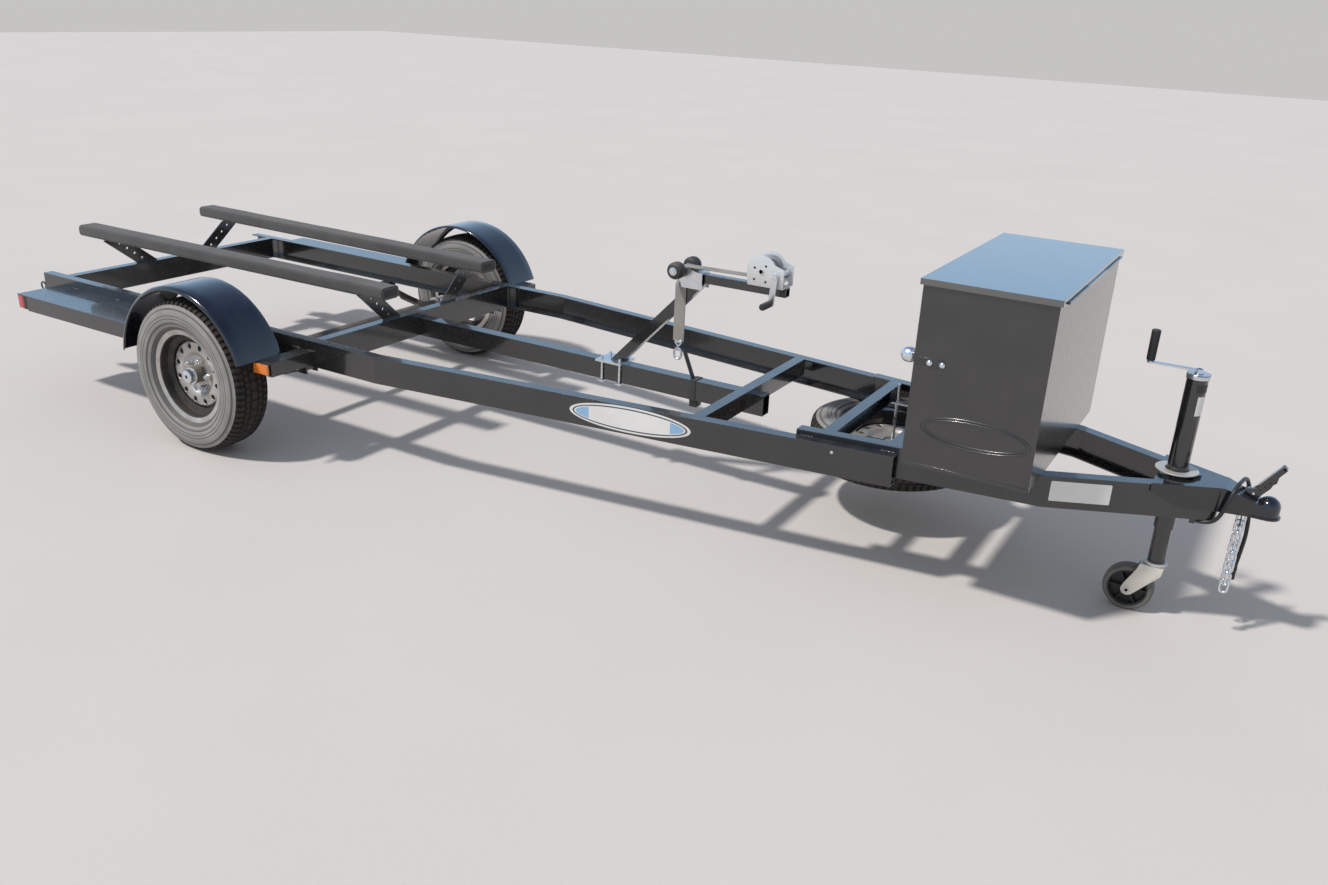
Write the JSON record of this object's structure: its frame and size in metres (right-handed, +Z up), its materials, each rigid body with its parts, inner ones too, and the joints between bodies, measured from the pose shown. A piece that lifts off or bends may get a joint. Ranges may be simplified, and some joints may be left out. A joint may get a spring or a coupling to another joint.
{
  "type": "boat trailer",
  "caption": "Single-axle boat trailer with carpeted bunks, a winch stand, a lidded storage box on the tongue and a swivel jack.",
  "frame": {"origin": "on the ground, at the middle of the overall length and width", "axes": "+X forward to the coupler, +Y to the trailer's left, +Z up"},
  "size_m": [5.058, 1.792, 1.0403],
  "materials": {
    "frame_paint": "satin black paint with dust",
    "fender_paint": "gloss black paint",
    "box_paint": "satin black sheet, dusty",
    "plated_steel": "bright zinc plating",
    "wheel_paint": "silver paint, weathered",
    "hub_metal": "plain steel with plated nuts",
    "tyre_rubber": "weathered grey-black",
    "roller_rubber": "matte",
    "bunk_carpet": "board under grey carpet",
    "strap_web": "woven grey webbing",
    "strap_dark": "woven dark webbing",
    "lamp_red": "ribbed lens",
    "lamp_amber": "ribbed lens",
    "lead_sheath": "matte"
  },
  "bodies": {
    "frame": {"side_rail_right": "frame_paint", "side_rail_left": "frame_paint", "tongue_rail_right": "frame_paint", "tongue_rail_left": "frame_paint", "tie_rings": "frame_paint", "crossmembers": "frame_paint", "tongue_crossmembers": "frame_paint", "centre_beam": "frame_paint", "axle_beam": "frame_paint", "leaf_springs": "frame_paint", "axle_clamps": "frame_paint", "fender_right": "fender_paint", "fender_left": "fender_paint", "steps": "fender_paint", "tail_lamps": "lamp_red", "marker_lamps": "lamp_amber", "bunks": "bunk_carpet", "bunk_brackets": "frame_paint", "winch_base": "plated_steel", "winch_post": "frame_paint", "roller_bracket": "plated_steel", "winch_frame": "plated_steel", "winch_crank": "plated_steel", "winch_strap": "strap_web", "winch_hook": "plated_steel", "beam_strap": "strap_dark", "spare_tyre": "tyre_rubber", "spare_rim": "wheel_paint", "spare_carrier": "plated_steel", "box_shell": "box_paint", "jack_tube": "frame_paint", "jack_crank": "plated_steel", "coupler": "frame_paint", "coupler_latch": "frame_paint", "safety_chains": "plated_steel", "wiring_lead": "lead_sheath", "wiring_plug": "lead_sheath"},
    "wheel_right": {"tyre_right": "tyre_rubber", "rim_right": "wheel_paint", "hub_right": "hub_metal"},
    "wheel_left": {"tyre_left": "tyre_rubber", "rim_left": "wheel_paint", "hub_left": "hub_metal"},
    "bow_rollers": {"bow_rollers": "roller_rubber"},
    "box_lid": {"box_lid": "box_paint"},
    "jack_leg": {"jack_leg": "frame_paint"},
    "caster_fork": {"caster_fork": "plated_steel"},
    "caster_wheel": {"caster_wheel": "roller_rubber"}
  },
  "joints": [
    {"name": "wheel_right_spin", "type": "hinge", "parent": "frame", "child": "wheel_right", "pos_m": [-1.183, -0.806, 0.302], "axis": [0, 1, 0], "continuous": true},
    {"name": "wheel_left_spin", "type": "hinge", "parent": "frame", "child": "wheel_left", "pos_m": [-1.183, 0.806, 0.302], "axis": [0, 1, 0], "continuous": true},
    {"name": "bow_roller_spin", "type": "hinge", "parent": "frame", "child": "bow_rollers", "pos_m": [0.5, 0, 0.838], "axis": [0, 1, 0], "continuous": true},
    {"name": "box_lid_hinge", "type": "hinge", "parent": "frame", "child": "box_lid", "pos_m": [1.9055, 0, 1.0238], "axis": [0, 1, 0], "range_deg": [0, 100]},
    {"name": "jack_travel", "type": "slide", "parent": "frame", "child": "jack_leg", "axis": [0, 0, 1], "range_m": [-0.2, 0.105]},
    {"name": "caster_swivel", "type": "hinge", "parent": "jack_leg", "child": "caster_fork", "pos_m": [2.23, 0, 0.173], "axis": [0, 0, 1], "continuous": true},
    {"name": "caster_wheel_spin", "type": "hinge", "parent": "caster_fork", "child": "caster_wheel", "pos_m": [2.168, 0, 0.076], "axis": [0, 1, 0], "continuous": true}
  ]
}
